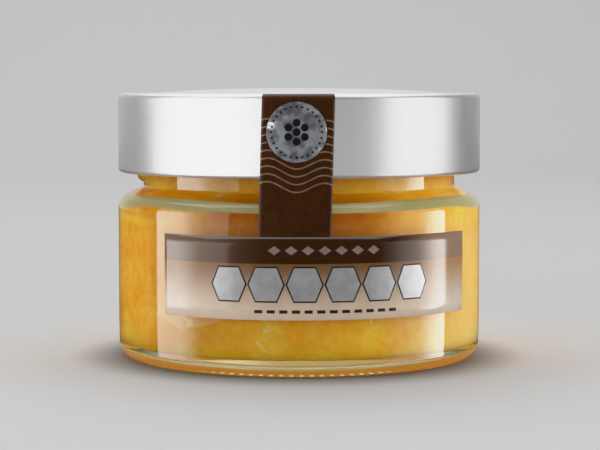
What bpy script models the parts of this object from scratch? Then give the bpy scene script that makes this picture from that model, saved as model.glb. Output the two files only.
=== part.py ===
"""A squat glass jar of amber roe, shut by a deep silver screw lid.

A clear jar with a rounded shoulder holds the roe, and the low end of its screw thread shows
at the left, just under the lid. A curved label lies on its front, and a dark
seal strip runs from the lid's top edge, across the gap at the neck, down to the label. A round
foil sticker lies on the strip. Lengths are in metres, +Z is up, -Y is the front, and the origin
is the centre of the ring that the jar stands on.
"""

import math

import bpy
from mathutils import Vector

MM = 0.001

# Driving dimensions
BODY_RADIUS = 36.5 * MM
BODY_WALL = 2.7 * MM
NECK_RADIUS = 31.4 * MM
NECK_WALL = 2.5 * MM
LIP_HEIGHT = 51.75 * MM
LID_RADIUS = BODY_RADIUS
LID_BOTTOM = 37.2 * MM
LID_RIM_HEIGHT = 52.95 * MM
LID_DOME_RISE = 1.0 * MM
LID_SHEET = 0.8 * MM
ROE_TOP = 48.0 * MM
TOUCHING_GAP = 0.3 * MM

# Shoulder, shared by the outer wall, the inner wall and the roe
SHOULDER_SLOPE = math.radians(24)
CORNER_RADIUS = 3.2 * MM
CORNER_HEIGHT = 30.0 * MM
INNER_CORNER_RADIUS = 3.5 * MM
INNER_CORNER_HEIGHT = 27.9 * MM
NECK_FILLET = 0.4 * MM

# Straight neck with the low end of a thread at its left, and the rounded lip
THREAD_PROUD = 1.3 * MM
THREAD_MIDDLE = math.radians(-92)
THREAD_SPAN = math.radians(48)
THREAD_FOOT = 35.2 * MM
THREAD_TOP = 39.2 * MM
THREAD_ROWS = 5
LIP_ROUNDING = 1.0 * MM

# Foot: the heel, the flat ring that it stands on, and the hollow under the base
HEEL_RADIUS = 2.8 * MM
HEEL_TAPER = 0.1 * MM
TAPER_START = 8.0 * MM
REST_RING_INNER = 31.8 * MM
HOLLOW_EDGE_RADIUS = 30.2 * MM
HOLLOW_EDGE_HEIGHT = 0.7 * MM
HOLLOW_CENTRE_HEIGHT = 1.5 * MM
FLOOR_EDGE_HEIGHT = 3.2 * MM
FLOOR_CENTRE_HEIGHT = 3.7 * MM
FLOOR_CORNER_RADIUS = 2.0 * MM

# Lid details
LID_ROUNDING = 1.2 * MM
PANEL_RADIUS = 29.6 * MM
PANEL_POWER = 2.6
GROOVE_DEPTH = 0.25 * MM
GROOVE_INNER = 30.3 * MM
GROOVE_OUTER = 31.1 * MM
RING_INNER = 31.9 * MM
CURL_INNER_RADIUS = 34.9 * MM
CURL_HEIGHT = 1.6 * MM

# Label, seal strip and sticker, which lie on the jar and the lid
SKIN = 0.2 * MM
SKIN_GAP = 0.2 * MM
LABEL_BOTTOM = 11.0 * MM
LABEL_TOP = 26.5 * MM
LABEL_START = math.radians(-44.2)
LABEL_END = math.radians(60.0)
STRIP_WIDTH = 13.9 * MM
STRIP_TOP_MIDDLE = math.radians(-0.1)
STRIP_FOOT_MIDDLE = math.radians(-1.3)
STRIP_RIM_WRAP = math.radians(75)
STICKER_RADIUS = 5.6 * MM
STICKER_HEIGHT = 45.9 * MM
STICKER_AZIMUTH = math.radians(-0.6)

# Relief of the roe grains pressed against the glass
GRAIN_SIZE = 2.0 * MM
GRAIN_DEPTH = 0.35 * MM
ROE_ROWS = 15

# Fineness of the round shapes
SEGMENTS = 64
ROE_SEGMENTS = 72
ARC_STEPS = 4
PANEL_STEPS = 6
LABEL_COLUMNS = 22
STRIP_COLUMNS = 6
STICKER_SIDES = 40
STICKER_SHELL_SEGMENTS = 96
MERGE = 0.00001


def clear_scene():
    for item in list(bpy.data.objects):
        bpy.data.objects.remove(item, do_unlink=True)


def make_collection(name):
    collection = bpy.data.collections.new(name)
    bpy.context.scene.collection.children.link(collection)
    return collection


def make_material(name, colour, roughness, metallic=0.0, transmission=0.0):
    material = bpy.data.materials.new(name)
    material.use_nodes = True
    shader = material.node_tree.nodes["Principled BSDF"]
    shader.inputs["Base Color"].default_value = (*colour, 1.0)
    shader.inputs["Roughness"].default_value = roughness
    shader.inputs["Metallic"].default_value = metallic
    shader.inputs["Transmission Weight"].default_value = transmission
    return material


def arc(centre_radius, centre_height, radius, start, end, steps=ARC_STEPS):
    """Points of a round stretch of a profile; angles in degrees, 0 outwards and 90 up."""
    points = []
    for step in range(steps + 1):
        angle = math.radians(start + (end - start) * step / steps)
        across = centre_radius + radius * math.cos(angle)
        height = centre_height + radius * math.sin(angle)
        points.append((across, height))
    return points


def shoulder(body_radius, corner_radius, corner_height, neck_radius, fillet):
    """Profile from the neck down to the body: a hollow fillet, a slope and a round corner."""
    tilt = math.degrees(math.pi / 2 - SHOULDER_SLOPE)
    corner = arc(body_radius - corner_radius, corner_height, corner_radius, tilt, 0)
    fillet_across = neck_radius + fillet
    touch_across = fillet_across - fillet * math.sin(SHOULDER_SLOPE)
    corner_across, corner_top = corner[0]
    touch_height = corner_top + (corner_across - touch_across) * math.tan(SHOULDER_SLOPE)
    fillet_height = touch_height + fillet * math.cos(SHOULDER_SLOPE)
    hollow = arc(fillet_across, fillet_height, fillet, 180, 180 + tilt)
    return hollow + corner


def cavity(inset):
    """Inside of the jar from the middle of its floor up the wall, moved inwards by the inset."""
    wall = BODY_RADIUS - BODY_WALL
    floor_across = wall - FLOOR_CORNER_RADIUS
    floor_corner = arc(
        floor_across,
        FLOOR_EDGE_HEIGHT + FLOOR_CORNER_RADIUS,
        FLOOR_CORNER_RADIUS - inset,
        -90,
        0,
    )
    inner_shoulder = shoulder(
        wall - inset,
        INNER_CORNER_RADIUS - inset,
        INNER_CORNER_HEIGHT,
        NECK_RADIUS - NECK_WALL - inset,
        NECK_FILLET + inset,
    )
    inner_shoulder.reverse()
    return [(0.0, FLOOR_CENTRE_HEIGHT + inset)] + floor_corner + inner_shoulder


def turned(name, profile, segments, material, collection):
    """A profile in the XZ plane, turned once about the Z axis."""
    mesh = bpy.data.meshes.new(name)
    points = [(across, 0.0, height) for across, height in profile]
    edges = [(index, index + 1) for index in range(len(points) - 1)]
    mesh.from_pydata(points, edges, [])
    mesh.materials.append(material)
    piece = bpy.data.objects.new(name, mesh)
    collection.objects.link(piece)
    screw = piece.modifiers.new("Turn", "SCREW")
    screw.steps = segments
    screw.render_steps = segments
    screw.use_merge_vertices = True
    screw.merge_threshold = MERGE
    screw.use_smooth_shade = True
    return piece


def jar_profile():
    inside = cavity(0.0)
    neck_inside = NECK_RADIUS - NECK_WALL
    lip = [
        (neck_inside, LIP_HEIGHT - LIP_ROUNDING),
        (neck_inside + LIP_ROUNDING, LIP_HEIGHT),
    ]
    neck = arc(NECK_RADIUS - LIP_ROUNDING, LIP_HEIGHT - LIP_ROUNDING, LIP_ROUNDING, 90, 0, 2)
    for row in range(THREAD_ROWS + 1):
        neck.append((NECK_RADIUS, THREAD_TOP + (THREAD_FOOT - THREAD_TOP) * row / THREAD_ROWS))
    outer_shoulder = shoulder(
        BODY_RADIUS,
        CORNER_RADIUS,
        CORNER_HEIGHT,
        NECK_RADIUS,
        NECK_FILLET,
    )
    foot_radius = BODY_RADIUS - HEEL_TAPER
    foot = [(BODY_RADIUS, TAPER_START)]
    foot += arc(foot_radius - HEEL_RADIUS, HEEL_RADIUS, HEEL_RADIUS, 0, -90)
    foot += [
        (REST_RING_INNER, 0.0),
        (HOLLOW_EDGE_RADIUS, HOLLOW_EDGE_HEIGHT),
        (0.0, HOLLOW_CENTRE_HEIGHT),
    ]
    return inside + lip + neck + outer_shoulder + foot


def raise_thread(vertices):
    """Swells the neck's left side into the low end of a thread."""
    middle_height = (THREAD_FOOT + THREAD_TOP) / 2
    half_height = (THREAD_TOP - THREAD_FOOT) / 2
    for vertex in vertices:
        across = vertex.co.to_2d().length
        if across < NECK_RADIUS - MERGE or abs(vertex.co.z - middle_height) > half_height:
            continue
        azimuth = math.atan2(vertex.co.x, -vertex.co.y)
        turn = abs((azimuth - THREAD_MIDDLE + math.pi) % math.tau - math.pi) / (THREAD_SPAN / 2)
        if turn > 1:
            continue
        rise = 1 - ((vertex.co.z - middle_height) / half_height) ** 4
        taper = 1 - turn**4
        swell = (across + THREAD_PROUD * rise * taper) / across
        vertex.co.x *= swell
        vertex.co.y *= swell


def make_jar(material, collection):
    """The turned glass as a plain mesh, with its thread raised."""
    turning = turned("glass_jar_turning", jar_profile(), SEGMENTS, material, collection)
    evaluated = turning.evaluated_get(bpy.context.evaluated_depsgraph_get())
    mesh = bpy.data.meshes.new_from_object(evaluated)
    mesh.name = "glass_jar"
    bpy.data.objects.remove(turning, do_unlink=True)
    raise_thread(mesh.vertices)
    jar = bpy.data.objects.new("glass_jar", mesh)
    collection.objects.link(jar)
    return jar


def lid_profile():
    panel = []
    for step in range(PANEL_STEPS + 1):
        across = PANEL_RADIUS * step / PANEL_STEPS
        fall = (step / PANEL_STEPS) ** PANEL_POWER
        panel.append((across, LID_RIM_HEIGHT + LID_DOME_RISE * (1 - fall)))
    groove = [
        (GROOVE_INNER, LID_RIM_HEIGHT - GROOVE_DEPTH),
        (GROOVE_OUTER, LID_RIM_HEIGHT - GROOVE_DEPTH),
        (RING_INNER, LID_RIM_HEIGHT),
    ]
    corner_across = LID_RADIUS - LID_ROUNDING
    rim = arc(corner_across, LID_RIM_HEIGHT - LID_ROUNDING, LID_ROUNDING, 90, 0)
    curl = arc(corner_across, LID_BOTTOM + LID_ROUNDING, LID_ROUNDING, 0, -90)
    inner_wall = LID_RADIUS - LID_SHEET
    underside = LID_RIM_HEIGHT - LID_SHEET
    inside = [
        (CURL_INNER_RADIUS, LID_BOTTOM + LID_ROUNDING / 4),
        (CURL_INNER_RADIUS, LID_BOTTOM + CURL_HEIGHT),
        (inner_wall, LID_BOTTOM + CURL_HEIGHT + LID_SHEET),
        (inner_wall, underside - LID_ROUNDING / 2),
        (inner_wall - LID_ROUNDING / 2, underside),
        (RING_INNER, underside),
        (GROOVE_OUTER, underside - GROOVE_DEPTH),
        (GROOVE_INNER, underside - GROOVE_DEPTH),
        (PANEL_RADIUS, underside),
        (0.0, underside + LID_DOME_RISE),
    ]
    return panel + groove + rim + curl + inside


def roe_profile():
    """The cavity less the gap, top first, with rows close enough to carry the grains."""
    corners = cavity(TOUCHING_GAP)
    neck = NECK_RADIUS - NECK_WALL - TOUCHING_GAP
    corners += [(neck, ROE_TOP - TOUCHING_GAP), (neck - TOUCHING_GAP, ROE_TOP), (0.0, ROE_TOP)]
    row = (ROE_TOP - FLOOR_EDGE_HEIGHT) / ROE_ROWS
    points = [corners[0]]
    for start, end in zip(corners, corners[1:]):
        level = abs(end[1] - start[1]) < row / 4
        parts = 1 if level else max(1, round(math.dist(start, end) / row))
        for part in range(1, parts + 1):
            share = part / parts
            across = start[0] + (end[0] - start[0]) * share
            height = start[1] + (end[1] - start[1]) * share
            points.append((across, height))
    points.reverse()
    return points


def on_jar(azimuth, radius, height):
    """A point at an angle round the jar, counted from the front towards +X."""
    return Vector((radius * math.sin(azimuth), -radius * math.cos(azimuth), height))


def curved_skin(name, rows, columns, material, collection):
    """An open sheet given a thickness outwards; rows hold radius, height, start and end angle."""
    bpy.ops.mesh.primitive_grid_add(x_subdivisions=columns, y_subdivisions=len(rows) - 1, size=2)
    piece = bpy.context.object
    piece.name = name
    piece.data.name = name
    for vertex in piece.data.vertices:
        across = (vertex.co.x + 1) / 2
        row = round((vertex.co.y + 1) / 2 * (len(rows) - 1))
        radius, height, start, end = rows[row]
        vertex.co = on_jar(start + (end - start) * across, radius, height)
    piece.data.materials.append(material)
    solidify = piece.modifiers.new("Thickness", "SOLIDIFY")
    solidify.thickness = SKIN
    solidify.offset = 1.0
    for owner in list(piece.users_collection):
        owner.objects.unlink(piece)
    collection.objects.link(piece)
    return piece


def label_rows():
    radius = BODY_RADIUS + SKIN_GAP
    middle = (LABEL_BOTTOM + LABEL_TOP) / 2
    heights = (LABEL_BOTTOM, middle, LABEL_TOP)
    return [(radius, height, LABEL_START, LABEL_END) for height in heights]


def strip_rows():
    """The strip leans a little on its way down, and its top follows the lid's rounded edge."""
    radius = BODY_RADIUS + SKIN_GAP
    foot = LABEL_TOP + TOUCHING_GAP
    corner_height = LID_RIM_HEIGHT - LID_ROUNDING
    path = [(radius, foot), (radius, LID_BOTTOM), (radius, STICKER_HEIGHT), (radius, corner_height)]
    wrap = arc(
        LID_RADIUS - LID_ROUNDING,
        corner_height,
        LID_ROUNDING + SKIN_GAP,
        0,
        math.degrees(STRIP_RIM_WRAP),
        3,
    )
    path += wrap[1:]
    half = STRIP_WIDTH / 2 / BODY_RADIUS
    rows = []
    for across, height in path:
        share = (height - foot) / (LID_RIM_HEIGHT - foot)
        middle = STRIP_FOOT_MIDDLE + (STRIP_TOP_MIDDLE - STRIP_FOOT_MIDDLE) * share
        rows.append((across, height, middle - half, middle + half))
    return rows


def make_sticker(material, collection, cutters):
    """A round foil disc cut out of a thin shell that lies on the strip."""
    inner = BODY_RADIUS + SKIN_GAP + SKIN + SKIN_GAP
    outer = inner + SKIN
    low = STICKER_HEIGHT - STICKER_RADIUS * 1.2
    high = STICKER_HEIGHT + STICKER_RADIUS * 1.2
    section = [(inner, high), (outer, high), (outer, low), (inner, low), (inner, high)]
    sticker = turned("sticker", section, STICKER_SHELL_SEGMENTS, material, collection)
    centre = on_jar(STICKER_AZIMUTH, outer, STICKER_HEIGHT)
    bpy.ops.mesh.primitive_cylinder_add(
        vertices=STICKER_SIDES,
        radius=STICKER_RADIUS,
        depth=8 * MM,
        location=centre,
        rotation=(math.pi / 2, 0, STICKER_AZIMUTH),
    )
    punch = bpy.context.object
    punch.name = "sticker_punch"
    punch.hide_render = True
    punch.display_type = "WIRE"
    for owner in list(punch.users_collection):
        owner.objects.unlink(punch)
    cutters.objects.link(punch)
    keep = sticker.modifiers.new("Punch", "BOOLEAN")
    keep.operation = "INTERSECT"
    keep.object = punch
    keep.solver = "EXACT"
    return sticker


def make_roe(material, collection):
    roe = turned("roe", roe_profile(), ROE_SEGMENTS, material, collection)
    grains = bpy.data.textures.new("roe_grains", "VORONOI")
    grains.noise_scale = GRAIN_SIZE
    relief = roe.modifiers.new("Grains", "DISPLACE")
    relief.texture = grains
    relief.strength = GRAIN_DEPTH
    relief.mid_level = 1.0
    return roe


def build():
    clear_scene()
    parts = make_collection("roe_jar")
    cutters = make_collection("roe_jar_cutters")
    glass = make_material("clear_glass", (0.93, 0.96, 0.92), 0.03, transmission=1.0)
    silver = make_material("satin_silver_lid", (0.62, 0.62, 0.63), 0.35, metallic=1.0)
    amber = make_material("amber_roe", (0.45, 0.19, 0.02), 0.3)
    film = make_material("label_film", (0.45, 0.32, 0.22), 0.35)
    brown = make_material("dark_brown_strip", (0.035, 0.012, 0.003), 0.35)
    foil = make_material("silver_foil", (0.5, 0.5, 0.53), 0.3, metallic=1.0)

    make_jar(glass, parts)
    turned("lid", lid_profile(), SEGMENTS, silver, parts)
    make_roe(amber, parts)
    curved_skin("label", label_rows(), LABEL_COLUMNS, film, parts)
    curved_skin("seal_strip", strip_rows(), STRIP_COLUMNS, brown, parts)
    make_sticker(foil, parts, cutters)


build()
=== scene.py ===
"""Looks of a squat glass jar of golden-amber pike roe with a deep silver screw lid."""

import math

import bmesh
import bpy
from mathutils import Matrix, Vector, noise


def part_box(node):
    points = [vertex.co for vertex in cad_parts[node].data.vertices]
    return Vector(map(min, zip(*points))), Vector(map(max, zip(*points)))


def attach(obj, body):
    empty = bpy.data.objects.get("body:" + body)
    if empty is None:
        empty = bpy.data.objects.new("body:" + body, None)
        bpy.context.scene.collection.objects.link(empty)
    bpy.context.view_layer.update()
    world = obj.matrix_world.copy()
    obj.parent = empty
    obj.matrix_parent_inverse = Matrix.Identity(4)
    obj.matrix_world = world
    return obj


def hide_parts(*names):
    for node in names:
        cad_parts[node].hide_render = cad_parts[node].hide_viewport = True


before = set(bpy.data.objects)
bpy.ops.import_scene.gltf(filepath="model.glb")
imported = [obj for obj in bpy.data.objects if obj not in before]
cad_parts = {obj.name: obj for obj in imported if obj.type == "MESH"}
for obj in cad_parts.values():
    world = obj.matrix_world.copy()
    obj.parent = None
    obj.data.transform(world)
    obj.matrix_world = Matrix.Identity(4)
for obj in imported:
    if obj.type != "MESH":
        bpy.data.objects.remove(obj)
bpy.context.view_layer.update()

MM = 0.001

# Sizes read from the parts in model.glb
jar_low, jar_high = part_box("glass_jar")
lid_low, lid_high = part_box("lid")
label_low, label_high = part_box("label")
sticker_low, sticker_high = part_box("sticker")
BODY_RADIUS = jar_high.x
LIP_HEIGHT = jar_high.z
LID_RADIUS = lid_high.x
LID_BOTTOM = lid_low.z
LABEL_BOTTOM = label_low.z
LABEL_TOP = label_high.z
STICKER_HEIGHT = (sticker_low.z + sticker_high.z) / 2
STICKER_RADIUS = (sticker_high.z - sticker_low.z) / 2

# Jar, as in the solids
BODY_WALL = 2.7 * MM
NECK_RADIUS = 31.4 * MM
NECK_WALL = 2.5 * MM
SHOULDER_SLOPE = math.radians(24)
CORNER_RADIUS = 3.2 * MM
CORNER_HEIGHT = 30.0 * MM
INNER_CORNER_RADIUS = 3.5 * MM
INNER_CORNER_HEIGHT = 27.9 * MM
NECK_FILLET = 0.4 * MM
THREAD_PROUD = 1.3 * MM
THREAD_MIDDLE = math.radians(-92)
THREAD_SPAN = math.radians(48)
THREAD_FOOT = 35.2 * MM
THREAD_TOP = 39.2 * MM
THREAD_ROWS = 14
THREAD_MARGIN = 0.1 * MM
LIP_ROUNDING = 1.0 * MM
HEEL_RADIUS = 2.8 * MM
HEEL_TAPER = 0.1 * MM
TAPER_START = 8.0 * MM
REST_RING_INNER = 31.8 * MM
HOLLOW_EDGE_RADIUS = 30.2 * MM
HOLLOW_EDGE_HEIGHT = 0.7 * MM
HOLLOW_CENTRE_HEIGHT = 1.5 * MM
FLOOR_EDGE_HEIGHT = 3.2 * MM
FLOOR_CENTRE_HEIGHT = 3.7 * MM
FLOOR_CORNER_RADIUS = 2.0 * MM
KNURL_COUNT = 96
KNURL_DEPTH = 0.16 * MM
KNURL_INNER = 32.2 * MM
KNURL_OUTER = 34.3 * MM
KNURL_CEILING = 1.2 * MM
EDGE_HOLD = 0.15 * MM

# Lid
LID_SHEET = 0.8 * MM
LID_DOME_RISE = 1.0 * MM
LID_RIM_HEIGHT = lid_high.z - LID_DOME_RISE
LID_ROUNDING = 1.2 * MM
LID_FOOT_ROUNDING = 0.9 * MM
PANEL_RADIUS = 29.6 * MM
PANEL_POWER = 2.6
GROOVE_DEPTH = 0.25 * MM
GROOVE_INNER = 30.3 * MM
GROOVE_OUTER = 31.1 * MM
RING_INNER = 31.9 * MM
CURL_INNER_RADIUS = 34.9 * MM
CURL_HEIGHT = 1.6 * MM

# Roe
ROE_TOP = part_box("roe")[1].z
ROE_OVERLAP = 0.06 * MM
ROE_SEGMENTS = 360
ROE_ROW = 0.6 * MM
GRAIN_SIZE = 1.7 * MM
GRAIN_RELIEF = 0.16 * MM
ROE_TOP_CHAMFER = 1.0 * MM

# Paper and film
FILM = 0.04 * MM
STRIP_LIFT = 0.02 * MM
LABEL_LIFT = 0.1 * MM
LABEL_START = math.radians(-44.2)
LABEL_END = math.radians(60.0)
BAND_FOOT = 21.5 * MM
STRIP_WIDTH = 13.6 * MM
STRIP_LEAN = math.radians(1.6)
STRIP_MIDDLE = math.radians(-0.7)
STRIP_PIVOT_HEIGHT = 40.0 * MM
STRIP_RIM_WRAP = math.radians(75)
STRIP_TUCK = 1.0 * MM
STRIP_ROWS = 40
STICKER_LIFT = STRIP_LIFT + 2.3 * FILM
PRINT_THICKNESS = 0.02 * MM
PRINT_GAP = 0.01 * MM
LABEL_PRINT_LIFT = LABEL_LIFT + FILM + PRINT_GAP

# Print
BLOCK_COUNT = 6
BLOCK_START = math.radians(-26.6)
BLOCK_END = math.radians(41.2)
BLOCK_LOW = 14.3 * MM
BLOCK_HIGH = 21.0 * MM
BLOCK_OUTLINE = 0.28 * MM
BLOCK_FLAT_SHARE = 0.30
BLOCK_TIP_GROWTH = 1.15
BLOCK_FLAT_GROWTH = 0.5
BLOCK_GAP = 2.6 * BLOCK_OUTLINE
LOZENGE_COUNT = 7
LOZENGE_START = -4.6 * MM
LOZENGE_END = 14.2 * MM
LOZENGE_HEIGHT = 24.0 * MM
LOZENGE_SIZE = (2.4 * MM, 1.7 * MM)
DASH_COUNT = 12
DASH_START = -7.6 * MM
DASH_END = 18.2 * MM
DASH_HEIGHT = 12.6 * MM
DASH_SIZE = (1.5 * MM, 0.6 * MM)
RING_DOTS = 28
RING_RADIUS = 4.7 * MM
RING_DOT_RADIUS = 0.22 * MM
STICKER_SHADOW_RIM = 0.14 * MM
PEARL_PITCH = 1.75 * MM
PEARL_RADIUS = 0.72 * MM
WAVE_COUNT = 9
WAVE_LOWEST = 35.7 * MM
WAVE_PITCH = 1.4525 * MM
WAVE_HEIGHT = 0.92 * MM
WAVE_PERIOD = 10.6 * MM
WAVE_LINE = 0.28 * MM

# Glass and lid finish; colours are linear, here and below
WHITE = (1.0, 1.0, 1.0)
GLASS_COLOUR = (0.97, 0.99, 0.96)
GLASS_SHADOW_FACING = (0.95, 0.96, 0.94)
GLASS_SHADOW_SLANTING = (0.75, 0.76, 0.73)
GLASS_TINT = (0.72, 0.85, 0.50)
GLASS_TINT_DENSITY = 9.0
LID_SILVER = (0.74, 0.74, 0.745)
LID_ROUGHNESS = (0.34, 0.38)
LID_HAZE_SIZE = 6.0 * MM

# Roe colours, with painted light, shade and glow; a pair of places is where a change starts and where
# it ends
BLOTCH_SIZE = 8.0 * MM
DEEP_AMBER = (0.92, 0.44, 0.006)
PALE_AMBER = (1.0, 0.56, 0.050)
SPECK_SIZE = 1.6 * MM
SPECK_SHADE = (0.88, 0.84, 0.76)
WISP_SCALE = 190.0
WISP_RIDGE = (0.022, 0.004)
WISP_SPOTS = (0.72, 0.92)
WISP_SHARE = 0.5
WISP_GLINT_COLOUR = (1.0, 0.84, 0.45)
RIGHT_SIDE = (18.0 * MM, 32.0 * MM)
RIGHT_SIDE_HEIGHT = (30.0 * MM, 22.0 * MM)
RIGHT_AMBER = (1.0, 0.60, 0.22)
SHADE_SIDEWAYS = (26.0 * MM, 10.0 * MM)
SHADE_FOOT = (19.0 * MM, 26.0 * MM)
SHADE_TOP = (33.5 * MM, 30.5 * MM)
SHADE_DEPTH = -15.0 * MM
SHADED_AMBER = (0.44, 0.25, 0.02)
OLIVE_LOW = 30.38 * MM
OLIVE_HIGH = 31.14 * MM
OLIVE_SOFT_LOW = 0.08 * MM
OLIVE_SOFT_HIGH = 0.05 * MM
OLIVE_TURN = (8.0 * MM, 22.0 * MM)
OLIVE_LEFT = (0.49, 0.50, 0.29)
OLIVE_RIGHT = (0.33, 0.34, 0.18)
SAG_SIDEWAYS = (26.0 * MM, 36.0 * MM)
SAG_LOW = 0.7 * MM
SAG_HIGH = 0.8 * MM
BODY_GLOW = (0.03, 0.013, 0.0)
GLOW_HEIGHT = (6.0 * MM, 3.6 * MM)
GLOW_INNER_RADIUS = (20.0 * MM, 14.0 * MM)
GLOW_OUTER = (0.24, 0.11, 0.010)
GLOW_INNER = (0.26, 0.15, 0.06)
GLOW_RIM = (31.2 * MM, 32.0 * MM)
RIM_GLOW = (0.02, 0.01, 0.0)
LINE_DEPTH = 4.0 * MM
LINE_BOW = 35.0
LINE_HALF_WIDTH = (6.4 * MM, 5.2 * MM)
LINE_TURN = (-2.0 * MM, -9.0 * MM)
LINE_RIGHT = (0.30, 0.28, 0.13)
LINE_LEFT = (0.58, 0.56, 0.38)
DASH_RING_RADIUS = 28.0 * MM
DASH_RING_HALF_WIDTH = (1.2 * MM, 0.6 * MM)
DASH_RING_FRONT = (-21.0 * MM, -25.0 * MM)
KNURL_GLINT_CREAM = (0.70, 0.60, 0.36)

# Print colours; the label's paler ends are painted light
FADE_MARGIN = 0.5 * MM
LIT_ENDS_MIDDLE = 1.5 * MM
LEFT_LIT_END = (-6.0 * MM, -31.0 * MM)
RIGHT_LIT_END = (16.0 * MM, 30.0 * MM)
FIELD_TOP = (0.24, 0.11, 0.035)
FIELD_TOP_LIT_ENDS = (0.58, 0.30, 0.13)
FIELD_FOOT = (1.0, 0.78, 0.58)
FIELD_FOOT_LIT_ENDS = (1.0, 0.86, 0.70)
BAND_SOFT = 0.1 * MM
BAND_BROWN = (0.055, 0.018, 0.002)
BAND_BROWN_LIT_ENDS = (0.42, 0.27, 0.19)
LABEL_HAZE_SIZE = 3.0 * MM
LABEL_HAZE = (0.9, 0.9, 0.9)
STRIP_SPECK_SIZE = 1.2 * MM
STRIP_BROWN_DARK = (0.070, 0.018, 0.001)
STRIP_BROWN_LIGHT = (0.090, 0.028, 0.002)
WAVE_TAN_DARK = (0.30, 0.17, 0.10)
WAVE_TAN_LIGHT = (0.42, 0.26, 0.17)
PRINT_HAZE_SIZE = 2.0 * MM
PRINT_HAZE_DEPTH = 0.82
BLOCK_SILVER = (0.86, 0.86, 0.88)
BLOCK_INK = (0.03, 0.014, 0.008)
LOZENGE_INK = (0.42, 0.32, 0.28)
DASH_INK = (0.05, 0.022, 0.008)
STICKER_INK = (0.012, 0.014, 0.018)
FOIL_CREASE_SIZE = 2.0 * MM
FOIL_CREASE_DEPTH = 0.3 * MM
FOIL_DARK = (0.30, 0.32, 0.35)
FOIL_LIGHT = (0.85, 0.87, 0.92)

# Mesh and stage
JAR_SEGMENTS = 384
LID_SEGMENTS = 256
ARC_STEPS = 10
WELD = 0.004 * MM
NEAR_FLOOR_RADIUS = 0.043
BACKDROP_START = 0.8
EYE_HEIGHT = 27.0 * MM
FOOT_SHADE_RADII = (34.0 * MM, 48.0 * MM)
FOOT_SHADE = 0.38
FLOOR_TURN = (-0.12, 0.1)
FLOOR_GREYS = (0.64, 0.54)
FAR_TURN = (0.1, 0.6)
FAR_SHARE = 0.93
FLOOR_FRONT = -1.6
SWEEP_HALF_WIDTH = 2.4
BACKDROP_BEND = 0.4
BACKDROP_BEND_STEPS = 24
BACKDROP_TOP = 1.4
SWEEP_DROP = 0.01 * MM

# Lamps: name, azimuths, elevations, distance in metres, radiance and where the fade starts
GLASS_LAMPS = (
    ("left_core", (-98.7, -62.0), (-22.0, 13.0), 0.95, 4.2, 0.5),
    ("left_panel", (-98.7, -43.2), (-8.5, 25.0), 1.0, 1.45, None),
    ("right_core", (102.4, 76.0), (-32.0, 13.0), 0.95, 7.0, 0.2),
    ("right_panel", (102.4, 49.0), (-20.0, 25.0), 1.0, 1.4, 0.6),
)
LID_LAMPS = (
    ("lid_left", (-97.0, -20.0), (-45.0, 35.0), 1.0, 2.8),
    ("lid_front", (-22.0, 50.0), (-35.0, 12.0), 1.0, 0.4),
    ("lid_right", (104.0, 54.0), (-45.0, 35.0), 1.0, 2.1),
)
ROE_LAMPS = (
    ("roe_front", (-60.0, 60.0), (-1.0, 20.0), 0.9, 3.4),
    ("roe_right", (70.0, 150.0), (-1.0, 30.0), 0.9, 5.6),
    ("roe_left", (-70.0, -150.0), (-1.0, 30.0), 0.9, 1.6),
)
OVERHEAD_RADIANCE = 2.15
OVERHEAD_SIZE = 1.6
OVERHEAD_PLACE = (-0.1, 0.45, 1.0)
WORLD_STRENGTH = 0.06

# Camera at the photograph's angle, and how highlights ease towards white
CAMERA_LENS = 118.8
CAMERA_PLACE = (0.0, -0.4015, 0.0545)
CAMERA_AIM = (0.0002, 0.0, 0.0262)
HIGHLIGHT_WHITE = 4.0
HIGHLIGHT_TOP = 0.96
HIGHLIGHT_CURVE = ((0.125, 0.5), (0.1625, 0.63), (0.225, 0.78), (0.35, 0.88), (0.6, 0.93))

# Geometry helpers


def arc(centre_radius, centre_height, radius, start, end, steps=ARC_STEPS):
    """Points of a round stretch of a profile; angles in degrees, 0 outwards and 90 up."""
    points = []
    for step in range(steps + 1):
        angle = math.radians(start + (end - start) * step / steps)
        across = centre_radius + radius * math.cos(angle)
        points.append((across, centre_height + radius * math.sin(angle)))
    return points


def shoulder(body_radius, corner_radius, corner_height, neck_radius, fillet):
    """Profile from the neck down to the body: a hollow fillet, a slope and a round corner."""
    tilt = math.degrees(math.pi / 2 - SHOULDER_SLOPE)
    corner = arc(body_radius - corner_radius, corner_height, corner_radius, tilt, 0)
    fillet_across = neck_radius + fillet
    touch_across = fillet_across - fillet * math.sin(SHOULDER_SLOPE)
    corner_across, corner_top = corner[0]
    touch_height = corner_top + (corner_across - touch_across) * math.tan(SHOULDER_SLOPE)
    fillet_height = touch_height + fillet * math.cos(SHOULDER_SLOPE)
    hollow = arc(fillet_across, fillet_height, fillet, 180, 180 + tilt)
    return hollow + corner


def cavity(inset):
    """Inside of the jar from the middle of its floor up the wall, moved inwards by the inset."""
    wall = BODY_RADIUS - BODY_WALL
    floor_across = wall - FLOOR_CORNER_RADIUS
    corner_height = FLOOR_EDGE_HEIGHT + FLOOR_CORNER_RADIUS
    floor_corner = arc(floor_across, corner_height, FLOOR_CORNER_RADIUS - inset, -90, 0)
    inner_shoulder = shoulder(
        wall - inset,
        INNER_CORNER_RADIUS - inset,
        INNER_CORNER_HEIGHT,
        NECK_RADIUS - NECK_WALL - inset,
        NECK_FILLET + inset,
    )
    inner_shoulder.reverse()
    return [(0.0, FLOOR_CENTRE_HEIGHT + inset)] + floor_corner + inner_shoulder


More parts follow.
